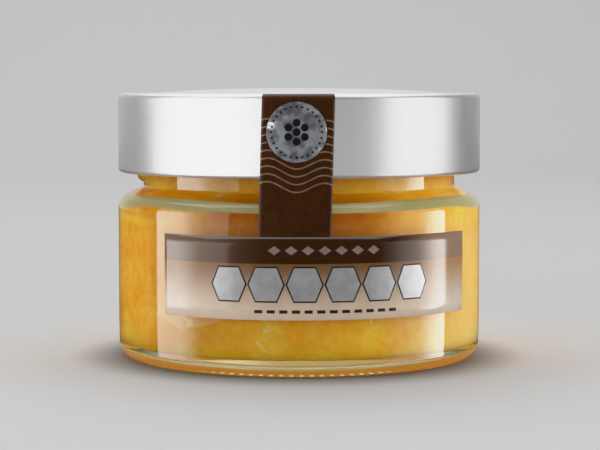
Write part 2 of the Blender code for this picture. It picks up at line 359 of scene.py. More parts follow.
def spun(profile, segments):
    """A bmesh turned once about Z from a profile in the XZ plane."""
    bm = bmesh.new()
    verts = [bm.verts.new((across, 0.0, height)) for across, height in profile]
    edges = [bm.edges.new(pair) for pair in zip(verts, verts[1:])]
    bmesh.ops.spin(
        bm,
        geom=verts + edges,
        cent=(0, 0, 0),
        axis=(0, 0, 1),
        angle=math.tau,
        steps=segments,
        use_merge=True,
    )
    bmesh.ops.remove_doubles(bm, verts=bm.verts, dist=WELD)
    bmesh.ops.recalc_face_normals(bm, faces=bm.faces)
    return bm


def finished(name, bm, material, smooth=True):
    """The bmesh as an object at the origin, riding on the jar's body."""
    mesh = bpy.data.meshes.new(name)
    bm.to_mesh(mesh)
    bm.free()
    mesh.materials.append(material)
    if smooth:
        mesh.shade_smooth()
    piece = bpy.data.objects.new(name, mesh)
    bpy.context.scene.collection.objects.link(piece)
    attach(piece, "root")
    return piece


def on_jar(azimuth, radius, height):
    """A point at an angle round the jar, counted from the front towards +X."""
    return Vector((radius * math.sin(azimuth), -radius * math.cos(azimuth), height))


def wrap(bm, radius):
    """Bends a flat sheet in the XZ plane, X along the arc, Y its lift, onto the jar's wall."""
    for vert in bm.verts:
        arc_length, lift, height = vert.co
        vert.co = on_jar(arc_length / BODY_RADIUS, radius + lift, height)


# Shader helpers


def new_material(name):
    material = bpy.data.materials.new(name)
    material.use_nodes = True
    tree = material.node_tree
    return material, tree, tree.nodes["Principled BSDF"]


def node(tree, kind, **settings):
    made = tree.nodes.new(kind)
    for key, value in settings.items():
        setattr(made, key, value)
    return made


def math_node(tree, operation, first, second=None, third=None, clamp=False):
    """A Math node whose operands are numbers or sockets; returns its output."""
    made = node(tree, "ShaderNodeMath", operation=operation, use_clamp=clamp)
    for socket, value in zip(made.inputs, (first, second, third)):
        if value is None:
            continue
        if isinstance(value, (int, float)):
            socket.default_value = value
        else:
            tree.links.new(value, socket)
    return made.outputs[0]


def mix_colour(tree, share, first, second, blend="MIX"):
    """A colour Mix node; colours are tuples or sockets; returns its output."""
    made = node(tree, "ShaderNodeMix", data_type="RGBA", blend_type=blend)
    for socket, value in ((made.inputs[0], share), (made.inputs[6], first), (made.inputs[7], second)):
        if isinstance(value, (int, float)):
            socket.default_value = value
        elif isinstance(value, tuple):
            socket.default_value = (*value, 1.0)
        else:
            tree.links.new(value, socket)
    return made.outputs[2]


def map_range(tree, value, low, high, to_low=0.0, to_high=1.0):
    made = node(tree, "ShaderNodeMapRange", interpolation_type="SMOOTHSTEP")
    tree.links.new(value, made.inputs[0])
    for socket, number in zip(made.inputs[1:5], (low, high, to_low, to_high)):
        socket.default_value = number
    return made.outputs[0]


def new_group(name, inputs, outputs):
    """An empty shader group with named sockets; returns tree, input node and output node."""
    tree = bpy.data.node_groups.new(name, "ShaderNodeTree")
    for label, kind, default in inputs:
        socket = tree.interface.new_socket(label, in_out="INPUT", socket_type=kind)
        if default is not None:
            socket.default_value = default
    for label, kind in outputs:
        tree.interface.new_socket(label, in_out="OUTPUT", socket_type=kind)
    return tree, tree.nodes.new("NodeGroupInput"), tree.nodes.new("NodeGroupOutput")


def use_group(tree, group, **values):
    made = tree.nodes.new("ShaderNodeGroup")
    made.node_tree = group
    for key, value in values.items():
        socket = made.inputs[key.replace("_", " ")]
        if isinstance(value, (int, float)):
            socket.default_value = value
        else:
            tree.links.new(value, socket)
    return made


def set_sockets(shader, **values):
    """Sets a shader's own numbers and colours; underscores stand for spaces."""
    for label, value in values.items():
        shader.inputs[label.replace("_", " ")].default_value = value


def product(tree, first, *others):
    for other in others:
        first = math_node(tree, "MULTIPLY", first, other)
    return first


def jar_coordinates_group():
    """Place on the jar in metres: the arc from the front towards +X, the height and the parts."""
    tree, _, result = new_group(
        "place on the jar",
        [],
        [
            ("Arc", "NodeSocketFloat"),
            ("Height", "NodeSocketFloat"),
            ("Sideways", "NodeSocketFloat"),
            ("Depth", "NodeSocketFloat"),
            ("Distance", "NodeSocketFloat"),
            ("Point", "NodeSocketVector"),
        ],
    )
    point = node(tree, "ShaderNodeTexCoord").outputs["Object"]
    parts = node(tree, "ShaderNodeSeparateXYZ")
    tree.links.new(point, parts.inputs[0])
    sideways, depth, height = parts.outputs
    azimuth = math_node(tree, "ARCTAN2", sideways, product(tree, depth, -1.0))
    distance = node(tree, "ShaderNodeVectorMath", operation="LENGTH")
    tree.links.new(point, distance.inputs[0])
    found = {
        "Arc": product(tree, azimuth, BODY_RADIUS),
        "Height": height,
        "Sideways": sideways,
        "Depth": depth,
        "Distance": distance.outputs["Value"],
        "Point": point,
    }
    for label, socket in found.items():
        tree.links.new(socket, result.inputs[label])
    return tree


def mottle_group():
    """Soft uneven patches between 0 and 1, at a size in metres."""
    tree, given, result = new_group(
        "mottle",
        [
            ("Point", "NodeSocketVector", None),
            ("Size", "NodeSocketFloat", 0.01),
            ("Sharpness", "NodeSocketFloat", 0.3),
        ],
        [("Mask", "NodeSocketFloat")],
    )
    scale = math_node(tree, "DIVIDE", 1.0, given.outputs["Size"])
    patches = node(tree, "ShaderNodeTexNoise")
    patches.inputs["Detail"].default_value = 3.0
    tree.links.new(given.outputs["Point"], patches.inputs["Vector"])
    tree.links.new(scale, patches.inputs["Scale"])
    low = math_node(tree, "MULTIPLY", given.outputs["Sharpness"], 0.5)
    high = math_node(tree, "SUBTRACT", 1.0, low)
    spread = node(tree, "ShaderNodeMapRange", interpolation_type="SMOOTHSTEP")
    tree.links.new(patches.outputs[0], spread.inputs[0])
    tree.links.new(low, spread.inputs[1])
    tree.links.new(high, spread.inputs[2])
    tree.links.new(spread.outputs[0], result.inputs["Mask"])
    return tree


PLACE = jar_coordinates_group()
MOTTLE = mottle_group()


def mottled(tree, place, size, sharpness):
    """The mottle's mask at a place on the jar."""
    made = use_group(tree, MOTTLE, Point=place.outputs["Point"], Size=size, Sharpness=sharpness)
    return made.outputs[0]


def from_middle(tree, place):
    """How far a place is from the jar's middle plane, to either side."""
    return math_node(tree, "ABSOLUTE", place.outputs["Sideways"])


# Materials


def clear_glass():
    """Clear glass with a faint green tint, which lets the lamps' light through to the roe."""
    material, tree, shader = new_material("clear_glass")
    set_sockets(
        shader,
        Base_Color=(*GLASS_COLOUR, 1.0),
        Roughness=0.0,
        IOR=1.5,
        Transmission_Weight=1.0,
    )
    path = node(tree, "ShaderNodeLightPath")
    slant = node(tree, "ShaderNodeLayerWeight")
    slant.inputs["Blend"].default_value = 0.5
    through = node(tree, "ShaderNodeBsdfTransparent")
    dimmed = mix_colour(tree, slant.outputs["Facing"], GLASS_SHADOW_FACING, GLASS_SHADOW_SLANTING)
    tree.links.new(dimmed, through.inputs["Color"])
    mixed = node(tree, "ShaderNodeMixShader")
    tree.links.new(path.outputs["Is Shadow Ray"], mixed.inputs[0])
    tree.links.new(shader.outputs[0], mixed.inputs[1])
    tree.links.new(through.outputs[0], mixed.inputs[2])
    output = tree.nodes["Material Output"]
    tree.links.new(mixed.outputs[0], output.inputs["Surface"])
    tint = node(tree, "ShaderNodeVolumeAbsorption")
    tint.inputs["Color"].default_value = (*GLASS_TINT, 1.0)
    tint.inputs["Density"].default_value = GLASS_TINT_DENSITY
    tree.links.new(tint.outputs[0], output.inputs["Volume"])
    return material


def satin_silver():
    """Satin silver lacquer with a faint unevenness in its shine."""
    material, tree, shader = new_material("satin_silver")
    haze = mottled(tree, use_group(tree, PLACE), LID_HAZE_SIZE, 0.4)
    tree.links.new(map_range(tree, haze, 0.0, 1.0, *LID_ROUGHNESS), shader.inputs["Roughness"])
    set_sockets(shader, Base_Color=(*LID_SILVER, 1.0), Metallic=0.7)
    return material


def roe_body(tree, place):
    """Amber blotches under a fine grain, with a few short pale threads that are painted glints."""
    patchy = mix_colour(tree, mottled(tree, place, BLOTCH_SIZE, 0.65), DEEP_AMBER, PALE_AMBER)
    grainy = mix_colour(tree, mottled(tree, place, SPECK_SIZE, 0.6), SPECK_SHADE, WHITE)
    amber = mix_colour(tree, 1.0, patchy, grainy, "MULTIPLY")
    # Painted glints: thin pale threads along noise ridges, in a few spots.
    glint_noise = node(tree, "ShaderNodeTexNoise")
    glint_noise.inputs["Scale"].default_value = WISP_SCALE
    glint_noise.inputs["Detail"].default_value = 1.5
    tree.links.new(place.outputs["Point"], glint_noise.inputs["Vector"])
    ridge = math_node(tree, "ABSOLUTE", math_node(tree, "SUBTRACT", glint_noise.outputs[0], 0.5))
    thread = map_range(tree, ridge, *WISP_RIDGE)
    spots = map_range(tree, mottled(tree, place, BLOTCH_SIZE, 0.6), *WISP_SPOTS)
    return mix_colour(tree, product(tree, thread, spots, WISP_SHARE), amber, WISP_GLINT_COLOUR)


def lit_right_side(tree, place, amber):
    """Painted light: a paler amber towards +X, which fades upwards."""
    sideways = map_range(tree, place.outputs["Sideways"], *RIGHT_SIDE)
    downwards = map_range(tree, place.outputs["Height"], *RIGHT_SIDE_HEIGHT, 0.3, 1.0)
    share = product(tree, sideways, downwards, 0.75)
    return mix_colour(tree, share, amber, RIGHT_AMBER)


def shaded_front(tree, place, amber):
    """Painted shade: a deeper amber high at the front, between the label and the shoulder."""
    height = place.outputs["Height"]
    middle = map_range(tree, from_middle(tree, place), *SHADE_SIDEWAYS)
    rising = map_range(tree, height, *SHADE_FOOT)
    capped = map_range(tree, height, *SHADE_TOP)
    front = map_range(tree, place.outputs["Depth"], 0.0, SHADE_DEPTH)
    shade = mix_colour(tree, product(tree, middle, rising, capped, front), WHITE, SHADED_AMBER)
    return mix_colour(tree, 1.0, amber, shade, "MULTIPLY")


def olive_band(tree, place, amber):
    """A painted olive band for the light that the thick glass of the shoulder throws on the roe, lower
    at the sides and darker towards +X.
    """
    height = place.outputs["Height"]
    sag = map_range(tree, from_middle(tree, place), *SAG_SIDEWAYS)
    low_level = math_node(tree, "MULTIPLY_ADD", sag, SAG_LOW, height)
    high_level = math_node(tree, "MULTIPLY_ADD", sag, SAG_HIGH, height)
    above_low = map_range(tree, low_level, OLIVE_LOW - OLIVE_SOFT_LOW, OLIVE_LOW + OLIVE_SOFT_LOW)
    below_high = map_range(tree, high_level, OLIVE_HIGH + OLIVE_SOFT_HIGH, OLIVE_HIGH - OLIVE_SOFT_HIGH)
    right = map_range(tree, place.outputs["Sideways"], *OLIVE_TURN)
    olive = mix_colour(tree, right, OLIVE_LEFT, OLIVE_RIGHT)
    return mix_colour(tree, product(tree, above_low, below_high), amber, olive)


def underside_glow(tree, place):
    """Painted light coming up through the thick base, as a glow: a pale bowed line, cream dashes for
    glints on the knurls, and amber.
    """
    distance = place.outputs["Distance"]
    sideways = place.outputs["Sideways"]
    depth = place.outputs["Depth"]
    inner = map_range(tree, distance, *GLOW_INNER_RADIUS)
    glow = mix_colour(tree, inner, GLOW_OUTER, GLOW_INNER)
    bow = product(tree, math_node(tree, "POWER", from_middle(tree, place), 2.0), LINE_BOW)
    off_line = math_node(tree, "SUBTRACT", math_node(tree, "SUBTRACT", depth, bow), LINE_DEPTH)
    line = map_range(tree, math_node(tree, "ABSOLUTE", off_line), *LINE_HALF_WIDTH)
    left = map_range(tree, sideways, *LINE_TURN)
    glow = mix_colour(tree, line, glow, mix_colour(tree, left, LINE_RIGHT, LINE_LEFT))
    # Cream dashes at the knurls' pitch: painted glints.
    swing = math_node(tree, "SINE", product(tree, place.outputs["Arc"], KNURL_COUNT / BODY_RADIUS))
    off_ring = math_node(tree, "ABSOLUTE", math_node(tree, "SUBTRACT", distance, DASH_RING_RADIUS))
    dashes = product(
        tree,
        map_range(tree, swing, 0.1, 0.6),
        map_range(tree, off_ring, *DASH_RING_HALF_WIDTH),
        map_range(tree, depth, *DASH_RING_FRONT),
    )
    glow = mix_colour(tree, dashes, glow, KNURL_GLINT_CREAM)
    return mix_colour(tree, map_range(tree, distance, *GLOW_RIM), glow, RIM_GLOW)


def amber_roe():
    """Packed translucent grains, with the colours that light and thick glass give them painted on, and
    a painted glow.
    """
    material, tree, shader = new_material("amber_roe")
    place = use_group(tree, PLACE)
    amber = roe_body(tree, place)
    amber = lit_right_side(tree, place, amber)
    amber = shaded_front(tree, place, amber)
    tree.links.new(olive_band(tree, place, amber), shader.inputs["Base Color"])
    # The roe glows: a faint painted glow over its body and painted light at its underside.
    low = map_range(tree, place.outputs["Height"], *GLOW_HEIGHT)
    glow = mix_colour(tree, low, BODY_GLOW, underside_glow(tree, place))
    tree.links.new(glow, shader.inputs["Emission Color"])
    set_sockets(
        shader,
        Roughness=0.4,
        Specular_IOR_Level=0.1,
        Subsurface_Weight=1.0,
        Subsurface_Radius=(1.0, 0.35, 0.06),
        Subsurface_Scale=12 * MM,
        Emission_Strength=1.0,
    )
    return material


def label_print():
    """Film with a dark brown band above a field that pales downwards; both are paler at the ends, which
    is painted light.
    """
    material, tree, shader = new_material("label_print")
    place = use_group(tree, PLACE)
    height = place.outputs["Height"]
    fade = map_range(tree, height, BAND_FOOT + FADE_MARGIN, LABEL_BOTTOM + FADE_MARGIN)
    along = math_node(tree, "SUBTRACT", place.outputs["Arc"], LIT_ENDS_MIDDLE)
    left_end = map_range(tree, along, *LEFT_LIT_END, 0.0, 0.6)
    right_end = map_range(tree, along, *RIGHT_LIT_END)
    # The label's ends are painted paler: painted light.
    ends = math_node(tree, "MAXIMUM", left_end, right_end)
    field_top = mix_colour(tree, ends, FIELD_TOP, FIELD_TOP_LIT_ENDS)
    field_foot = mix_colour(tree, ends, FIELD_FOOT, FIELD_FOOT_LIT_ENDS)
    field = mix_colour(tree, fade, field_top, field_foot)
    band = map_range(tree, height, BAND_FOOT - BAND_SOFT, BAND_FOOT + BAND_SOFT)
    colour = mix_colour(tree, band, field, mix_colour(tree, ends, BAND_BROWN, BAND_BROWN_LIT_ENDS))
    uneven = mix_colour(tree, mottled(tree, place, LABEL_HAZE_SIZE, 0.5), LABEL_HAZE, WHITE)
    printed = mix_colour(tree, 1.0, colour, uneven, "MULTIPLY")
    tree.links.new(printed, shader.inputs["Base Color"])
    # The film glows faintly in its own colours: painted light.
    tree.links.new(printed, shader.inputs["Emission Color"])
    set_sockets(shader, Emission_Strength=0.09, Roughness=0.12)
    return material


def strip_print():
    """Dark brown with thin tan waves, which lean with the strip."""
    material, tree, shader = new_material("strip_print")
    place = use_group(tree, PLACE)
    arc_part = math_node(tree, "SUBTRACT", place.outputs["Arc"], STRIP_MIDDLE * BODY_RADIUS)
    rise = math_node(tree, "SUBTRACT", place.outputs["Height"], STRIP_PIVOT_HEIGHT)
    turn_cos, turn_sin = math.cos(STRIP_LEAN), math.sin(STRIP_LEAN)
    across = math_node(tree, "MULTIPLY_ADD", rise, -turn_sin, product(tree, arc_part, turn_cos))
    upward = math_node(tree, "MULTIPLY_ADD", rise, turn_cos, product(tree, arc_part, turn_sin))
    swing = math_node(tree, "COSINE", product(tree, across, math.tau / WAVE_PERIOD))
    level = math_node(tree, "MULTIPLY_ADD", swing, WAVE_HEIGHT, upward)
    first = WAVE_LOWEST - STRIP_PIVOT_HEIGHT
    steps = math_node(tree, "DIVIDE", math_node(tree, "SUBTRACT", level, first), WAVE_PITCH)
    nearest = math_node(tree, "ROUND", steps)
    kept = math_node(tree, "MINIMUM", math_node(tree, "MAXIMUM", nearest, 0.0), WAVE_COUNT - 1.0)
    off = math_node(tree, "ABSOLUTE", math_node(tree, "SUBTRACT", steps, kept))
    half = WAVE_LINE / 2 / WAVE_PITCH
    line = map_range(tree, off, half * 1.25, half * 0.75)
    speckle = mottled(tree, place, STRIP_SPECK_SIZE, 0.6)
    ink = mix_colour(tree, speckle, STRIP_BROWN_DARK, STRIP_BROWN_LIGHT)
    tan = mix_colour(tree, speckle, WAVE_TAN_DARK, WAVE_TAN_LIGHT)
    tree.links.new(mix_colour(tree, line, ink, tan), shader.inputs["Base Color"])
    set_sockets(shader, Roughness=0.4, Specular_IOR_Level=0.2)
    return material


def plain_print(name, colour, roughness, metallic=0.0):
    """One printed colour with a slight unevenness."""
    material, tree, shader = new_material(name)
    haze = mottled(tree, use_group(tree, PLACE), PRINT_HAZE_SIZE, 0.5)
    dark = tuple(PRINT_HAZE_DEPTH * part for part in colour)
    tree.links.new(mix_colour(tree, haze, dark, colour), shader.inputs["Base Color"])
    set_sockets(shader, Roughness=roughness, Metallic=metallic)
    return material


def foil():
    """Crumpled silver foil."""
    material, tree, shader = new_material("silver_foil")
    mottle = mottled(tree, use_group(tree, PLACE), FOIL_CREASE_SIZE, 0.7)
    tree.links.new(mix_colour(tree, mottle, FOIL_DARK, FOIL_LIGHT), shader.inputs["Base Color"])
    set_sockets(shader, Metallic=0.6, Roughness=0.38)
    creases = node(tree, "ShaderNodeBump")
    creases.inputs["Strength"].default_value = 0.4
    creases.inputs["Distance"].default_value = FOIL_CREASE_DEPTH
    tree.links.new(mottle, creases.inputs["Height"])
    tree.links.new(creases.outputs[0], shader.inputs["Normal"])
    return material


# Pieces


def raise_thread(bm):
    """Swells the neck's left side into the low end of a thread, just under the lid."""
    middle_height = (THREAD_FOOT + THREAD_TOP) / 2
    half_height = (THREAD_TOP - THREAD_FOOT) / 2
    for vert in bm.verts:
        across = vert.co.to_2d().length
        if across < NECK_RADIUS - THREAD_MARGIN or abs(vert.co.z - middle_height) > half_height:
            continue
        azimuth = math.atan2(vert.co.x, -vert.co.y)
        turn = abs((azimuth - THREAD_MIDDLE + math.pi) % math.tau - math.pi) / (THREAD_SPAN / 2)
        if turn > 1:
            continue
        rise = 1 - ((vert.co.z - middle_height) / half_height) ** 4
        taper = 1 - turn**4
        swell = (across + THREAD_PROUD * rise * taper) / across
        vert.co.x *= swell
        vert.co.y *= swell


def cut_knurls(bm):
    """Shallow radial grooves in the ring that the jar stands on."""
    for vert in bm.verts:
        across = vert.co.to_2d().length
        if vert.co.z > KNURL_CEILING or not KNURL_INNER < across < KNURL_OUTER:
            continue
        azimuth = math.atan2(vert.co.x, -vert.co.y)
        vert.co.z += KNURL_DEPTH * (1 - math.cos(KNURL_COUNT * azimuth)) / 2


def make_jar(material):
    """The jar, with rows close to the hollow's edges so that its flat faces shade flat."""
    neck_inside = NECK_RADIUS - NECK_WALL
    profile = cavity(0.0)
    profile += [(neck_inside, LIP_HEIGHT - LIP_ROUNDING), (neck_inside + LIP_ROUNDING, LIP_HEIGHT)]
    profile += arc(NECK_RADIUS - LIP_ROUNDING, LIP_HEIGHT - LIP_ROUNDING, LIP_ROUNDING, 90, 0)
    for row in range(THREAD_ROWS + 1):
        profile.append((NECK_RADIUS, THREAD_TOP + (THREAD_FOOT - THREAD_TOP) * row / THREAD_ROWS))
    profile += shoulder(BODY_RADIUS, CORNER_RADIUS, CORNER_HEIGHT, NECK_RADIUS, NECK_FILLET)
    profile += [(BODY_RADIUS, TAPER_START)]
    foot_radius = BODY_RADIUS - HEEL_TAPER
    profile += arc(foot_radius - HEEL_RADIUS, HEEL_RADIUS, HEEL_RADIUS, 0, -90)
    hollow = [
        (REST_RING_INNER, 0.0),
        (HOLLOW_EDGE_RADIUS, HOLLOW_EDGE_HEIGHT),
        (0.0, HOLLOW_CENTRE_HEIGHT),
    ]
    for start, end in zip(hollow, hollow[1:]):
        hold = EDGE_HOLD / math.dist(start, end)
        for share in (0.0, hold, 1 - hold):
            profile.append(tuple(a + (b - a) * share for a, b in zip(start, end)))
    profile.append(hollow[-1])
    bm = spun(profile, JAR_SEGMENTS)
    raise_thread(bm)
    cut_knurls(bm)
    jar = finished("jar_glass", bm, material)
    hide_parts("glass_jar")


def make_lid(material):
    profile = []
    panel_steps = 24
    for step in range(panel_steps + 1):
        share = step / panel_steps
        rise = LID_DOME_RISE * (1 - share**PANEL_POWER)
        profile.append((PANEL_RADIUS * share, LID_RIM_HEIGHT + rise))
    groove_floor = LID_RIM_HEIGHT - GROOVE_DEPTH
    profile += [
        (GROOVE_INNER, groove_floor),
        (GROOVE_OUTER, groove_floor),
        (RING_INNER, LID_RIM_HEIGHT),
    ]
    corner = LID_RADIUS - LID_ROUNDING
    profile += arc(corner, LID_RIM_HEIGHT - LID_ROUNDING, LID_ROUNDING, 90, 0)
    foot_corner = LID_RADIUS - LID_FOOT_ROUNDING
    profile += arc(foot_corner, LID_BOTTOM + LID_FOOT_ROUNDING, LID_FOOT_ROUNDING, 0, -90)
    inner_wall = LID_RADIUS - LID_SHEET
    underside = LID_RIM_HEIGHT - LID_SHEET
    profile += [
        (CURL_INNER_RADIUS, LID_BOTTOM + LID_ROUNDING / 4),
        (CURL_INNER_RADIUS, LID_BOTTOM + CURL_HEIGHT),
        (inner_wall, LID_BOTTOM + CURL_HEIGHT + LID_SHEET),
        (inner_wall, underside - LID_ROUNDING / 2),
        (inner_wall - LID_ROUNDING / 2, underside),
        (RING_INNER, underside),
        (GROOVE_OUTER, underside - GROOVE_DEPTH),
        (GROOVE_INNER, underside - GROOVE_DEPTH),
        (PANEL_RADIUS, underside),
        (0.0, underside + LID_DOME_RISE),
    ]
    lid = finished("screw_lid", spun(profile, LID_SEGMENTS), material)
    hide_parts("lid")


def make_roe(material):
    """The roe reaches just into the glass, with a relief of grains that only swells outwards."""
    corners = cavity(-ROE_OVERLAP)
    neck = NECK_RADIUS - NECK_WALL + ROE_OVERLAP
    corners += [(neck, ROE_TOP - ROE_TOP_CHAMFER), (neck - ROE_TOP_CHAMFER, ROE_TOP), (0.0, ROE_TOP)]
    profile = [corners[0]]
    for start, end in zip(corners, corners[1:]):
        parts = max(1, round(math.dist(start, end) / ROE_ROW))
        for part in range(1, parts + 1):
            share = part / parts
            profile.append(tuple(a + (b - a) * share for a, b in zip(start, end)))
    bm = spun(profile, ROE_SEGMENTS)
    bm.normal_update()
    for vert in bm.verts:
        nearest = noise.voronoi(vert.co / GRAIN_SIZE)[0][0]
        vert.co += vert.normal * GRAIN_RELIEF * max(0.0, 1 - nearest)
    roe = finished("roe_core", bm, material)
    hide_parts("roe")


def flat_sheet(width, height, columns, rows, middle_arc, middle_height):
    """A flat grid in the XZ plane, to be bent onto the jar."""
    bm = bmesh.new()
    bmesh.ops.create_grid(bm, x_segments=columns, y_segments=rows, size=0.5)
    for vert in bm.verts:
        vert.co = Vector((vert.co.x * width + middle_arc, 0.0, vert.co.y * height + middle_height))
    return bm


def thicken(bm, thickness):
    """Gives a curved sheet its thickness inwards, from the face that shows."""
    bmesh.ops.recalc_face_normals(bm, faces=bm.faces)
    facing = sum(face.normal.dot(face.calc_center_median() * Vector((1, 1, 0))) for face in bm.faces)
    if facing < 0:
        bmesh.ops.reverse_faces(bm, faces=bm.faces)
    bmesh.ops.solidify(bm, geom=bm.verts[:] + bm.edges[:] + bm.faces[:], thickness=thickness)
    bmesh.ops.recalc_face_normals(bm, faces=bm.faces)


def make_label(material):
    width = (LABEL_END - LABEL_START) * BODY_RADIUS
    middle = (LABEL_END + LABEL_START) / 2 * BODY_RADIUS
    height = LABEL_TOP - LABEL_BOTTOM
    bm = flat_sheet(width, height, 96, 8, middle, (LABEL_TOP + LABEL_BOTTOM) / 2)
    wrap(bm, BODY_RADIUS + LABEL_LIFT + FILM)
    thicken(bm, FILM)
    label = finished("label_sheet", bm, material)
    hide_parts("label")


def make_strip(material):
    """The strip runs from the lid's rounded edge, over the gap at the neck, down under the label."""
    radius = BODY_RADIUS + STRIP_LIFT + FILM
    corner_height = LID_RIM_HEIGHT - LID_ROUNDING
    foot = LABEL_TOP - STRIP_TUCK
    length = corner_height - foot + STRIP_RIM_WRAP * LID_ROUNDING
    bm = flat_sheet(STRIP_WIDTH, length, 24, STRIP_ROWS, 0.0, foot + length / 2)
    for vert in bm.verts:
        lean = (vert.co.z - STRIP_PIVOT_HEIGHT) * math.tan(STRIP_LEAN)
        azimuth = STRIP_MIDDLE + (vert.co.x + lean) / BODY_RADIUS
        over = max(0.0, vert.co.z - corner_height) / LID_ROUNDING
        across = radius - (LID_ROUNDING + FILM) * (1 - math.cos(over))
        height = min(vert.co.z, corner_height) + (LID_ROUNDING + FILM) * math.sin(over)
        vert.co = on_jar(azimuth, across, height)
    thicken(bm, FILM)
    strip = finished("seal_strip_paper", bm, material)
    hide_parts("seal_strip")


def decal(bm, outline, lift, middle_arc, middle_height):
    """Adds a filled outline, as arc and height pairs about a middle, laid thinly on the jar."""
    part = bmesh.new()
    verts = [part.verts.new((middle_arc + x, 0.0, middle_height + z)) for x, z in outline]
    part.faces.new(verts)
    bmesh.ops.triangulate(part, faces=part.faces)
    bmesh.ops.subdivide_edges(part, edges=part.edges, cuts=3, use_grid_fill=True)
    wrap(part, BODY_RADIUS + lift + PRINT_THICKNESS)
    thicken(part, PRINT_THICKNESS)
    mesh = bpy.data.meshes.new("decal_part")
    part.to_mesh(mesh)
    part.free()
    bm.from_mesh(mesh)
    bpy.data.meshes.remove(mesh)


def hexagon(width, height, grow=0.0):
    """A hexagon with points at its left and right, grown by an even margin."""
    half_width = width / 2 + grow * BLOCK_TIP_GROWTH
    half_height = height / 2 + grow
    shoulder_x = width * BLOCK_FLAT_SHARE + grow * BLOCK_FLAT_GROWTH
    return [
        (-half_width, 0.0),
        (-shoulder_x, -half_height),
        (shoulder_x, -half_height),
        (half_width, 0.0),
        (shoulder_x, half_height),
        (-shoulder_x, half_height),
    ]


def make_blocks(silver, ink):
    """A row of silver hexagons with dark outlines on the label's field."""
    pitch = (BLOCK_END - BLOCK_START) / BLOCK_COUNT * BODY_RADIUS
    height = BLOCK_HIGH - BLOCK_LOW - 2 * BLOCK_OUTLINE
    width = pitch - BLOCK_GAP
    level = (BLOCK_LOW + BLOCK_HIGH) / 2
    over_lift = LABEL_PRINT_LIFT + PRINT_THICKNESS + PRINT_GAP
    under, over = bmesh.new(), bmesh.new()
    for index in range(BLOCK_COUNT):
        middle = BLOCK_START * BODY_RADIUS + pitch * (index + 0.5)
        decal(under, hexagon(width, height, BLOCK_OUTLINE), LABEL_PRINT_LIFT, middle, level)
        decal(over, hexagon(width, height), over_lift, middle, level)
    finished("block_outlines", under, ink, smooth=False)
    finished("block_faces", over, silver, smooth=False)


def rectangle(width, height):
    half_width, half_height = width / 2, height / 2
    return [
        (-half_width, -half_height),
        (half_width, -half_height),
        (half_width, half_height),
        (-half_width, half_height),
    ]


def lozenge(width, height):
    return [(-width / 2, 0.0), (0.0, -height / 2), (width / 2, 0.0), (0.0, height / 2)]


def dot(radius, sides, across=0.0, up=0.0):
    points = []
    for side in range(sides):
        angle = math.tau * side / sides
        points.append((across + radius * math.cos(angle), up + radius * math.sin(angle)))
    return points


def make_rows(pale, ink):
    """A row of pale lozenges in the dark band, and a row of dark dashes under the hexagons."""
    lozenges, dashes = bmesh.new(), bmesh.new()
    for index in range(LOZENGE_COUNT):
        middle = LOZENGE_START + (LOZENGE_END - LOZENGE_START) * index / (LOZENGE_COUNT - 1)
        decal(lozenges, lozenge(*LOZENGE_SIZE), LABEL_PRINT_LIFT, middle, LOZENGE_HEIGHT)
    for index in range(DASH_COUNT):
        middle = DASH_START + (DASH_END - DASH_START) * index / (DASH_COUNT - 1)
        decal(dashes, rectangle(*DASH_SIZE), LABEL_PRINT_LIFT, middle, DASH_HEIGHT)
    finished("band_lozenges", lozenges, pale, smooth=False)
    finished("field_dashes", dashes, ink, smooth=False)


def make_sticker_print_and_shadow(ink):
    """A ring of dots and a cluster of seven pearls, with a thin dark rim of painted shadow behind the
    foil.
    """
    middle_arc = STRIP_MIDDLE * BODY_RADIUS
    marks = bmesh.new()
    # A dark disc just wider than the sticker, under it: painted shadow round the foil's edge.
    rim = dot(STICKER_RADIUS + STICKER_SHADOW_RIM, 64)
    decal(marks, rim, STRIP_LIFT + FILM, middle_arc, STICKER_HEIGHT)
    spots = []
    for index in range(RING_DOTS):
        angle = math.tau * index / RING_DOTS
        across, up = RING_RADIUS * math.cos(angle), RING_RADIUS * math.sin(angle)
        spots.append(dot(RING_DOT_RADIUS, 10, across, up))
    spots.append(dot(PEARL_RADIUS, 20))
    for index in range(6):
        angle = math.tau * (index + 0.5) / 6
        across, up = PEARL_PITCH * math.cos(angle), PEARL_PITCH * math.sin(angle)
        spots.append(dot(PEARL_RADIUS, 20, across, up))
    for spot in spots:
        decal(marks, spot, STICKER_LIFT + PRINT_GAP, middle_arc, STICKER_HEIGHT)
    finished("sticker_marks", marks, ink, smooth=False)


def make_sticker(material):
    bm = bmesh.new()
    bmesh.ops.create_circle(bm, cap_ends=True, segments=72, radius=STICKER_RADIUS)
    bmesh.ops.triangulate(bm, faces=bm.faces)
    bmesh.ops.subdivide_edges(bm, edges=bm.edges, cuts=4, use_grid_fill=True)
    middle_arc = STRIP_MIDDLE * BODY_RADIUS
    for vert in bm.verts:
        vert.co = Vector((vert.co.x + middle_arc, 0.0, vert.co.y + STICKER_HEIGHT))
    wrap(bm, BODY_RADIUS + STICKER_LIFT)
    thicken(bm, FILM)
    sticker = finished("foil_sticker", bm, material)
    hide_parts("sticker")


# Stage


